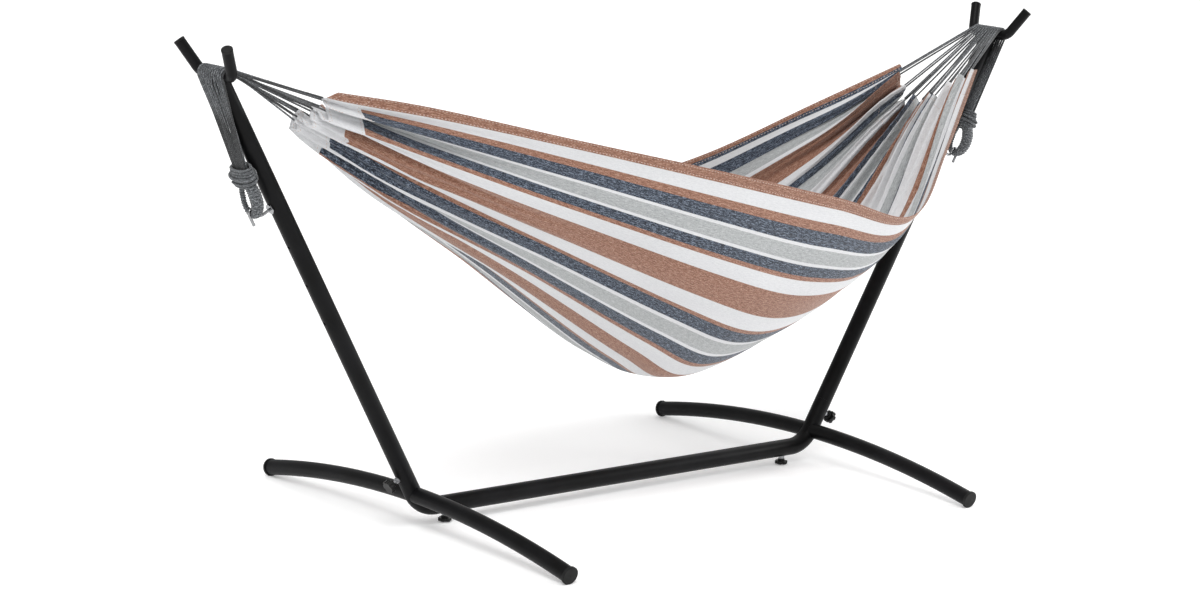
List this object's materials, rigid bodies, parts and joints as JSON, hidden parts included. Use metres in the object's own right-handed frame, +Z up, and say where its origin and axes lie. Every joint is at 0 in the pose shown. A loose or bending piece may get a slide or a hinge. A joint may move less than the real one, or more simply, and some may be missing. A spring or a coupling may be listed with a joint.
{
  "type": "hammock on stand",
  "caption": "Striped cotton hammock slung by rope bundles over the forked uprights of a free-standing tubular steel stand with arched feet.",
  "frame": {"origin": "on the floor under the middle of the stand", "axes": "+X along the ground beam, +Y to the far feet, +Z up"},
  "size_m": [2.5348, 1.128, 1.147],
  "materials": {
    "black_steel": "satin",
    "cap_plastic": "matte",
    "knob_plastic": "satin",
    "zinc_steel": "satin",
    "hook_steel": "gloss",
    "rope": "matte",
    "cloth": "matte"
  },
  "bodies": {
    "stand": {"centre_beam": "black_steel", "elbow_left": "black_steel", "elbow_right": "black_steel", "foot_spigots_left": "black_steel", "foot_spigots_right": "black_steel", "foot_front_left": "black_steel", "foot_rear_left": "black_steel", "foot_front_right": "black_steel", "foot_rear_right": "black_steel", "foot_cap_front_left": "cap_plastic", "foot_cap_rear_left": "cap_plastic", "foot_cap_front_right": "cap_plastic", "foot_cap_rear_right": "cap_plastic", "upright_left": "black_steel", "upright_right": "black_steel", "yoke_left": "black_steel", "yoke_right": "black_steel", "yoke_caps_left": "cap_plastic", "yoke_caps_right": "cap_plastic", "weld_nuts": "zinc_steel", "hook_left": "hook_steel", "hook_right": "hook_steel", "hook_washer_left": "hook_steel", "hook_washer_right": "hook_steel", "rope_ring_left": "rope", "rope_ring_right": "rope", "whipping_left": "rope", "whipping_right": "rope", "yoke_ropes_left": "rope", "yoke_ropes_right": "rope"},
    "hammock": {"bed_fabric": "cloth", "bed_cords_left": "rope", "bed_cords_right": "rope"},
    "knob_upright_left": {"knob_upright_left": "knob_plastic", "stud_upright_left": "zinc_steel"},
    "knob_upright_right": {"knob_upright_right": "knob_plastic", "stud_upright_right": "zinc_steel"},
    "knob_beam_left": {"knob_beam_left": "knob_plastic", "stud_beam_left": "zinc_steel"},
    "knob_beam_right": {"knob_beam_right": "knob_plastic", "stud_beam_right": "zinc_steel"}
  },
  "joints": [
    {"name": "hammock_swing", "type": "hinge", "parent": "stand", "child": "hammock", "pos_m": [0, 0, 1.083], "axis": [1, 0, 0], "range_deg": [-30, 30]},
    {"name": "knob_upright_left_turn", "type": "hinge", "parent": "stand", "child": "knob_upright_left", "pos_m": [-0.70469, 0, 0.10862], "axis": [-0.8652, 0, -0.5015], "continuous": true},
    {"name": "knob_beam_left_turn", "type": "hinge", "parent": "stand", "child": "knob_beam_left", "pos_m": [-0.545, 0, 0.01], "axis": [0, 0, -1], "continuous": true},
    {"name": "knob_upright_right_turn", "type": "hinge", "parent": "stand", "child": "knob_upright_right", "pos_m": [0.70469, 0, 0.10862], "axis": [0.8652, 0, -0.5015], "continuous": true},
    {"name": "knob_beam_right_turn", "type": "hinge", "parent": "stand", "child": "knob_beam_right", "pos_m": [0.545, 0, 0.01], "axis": [0, 0, -1], "continuous": true}
  ]
}
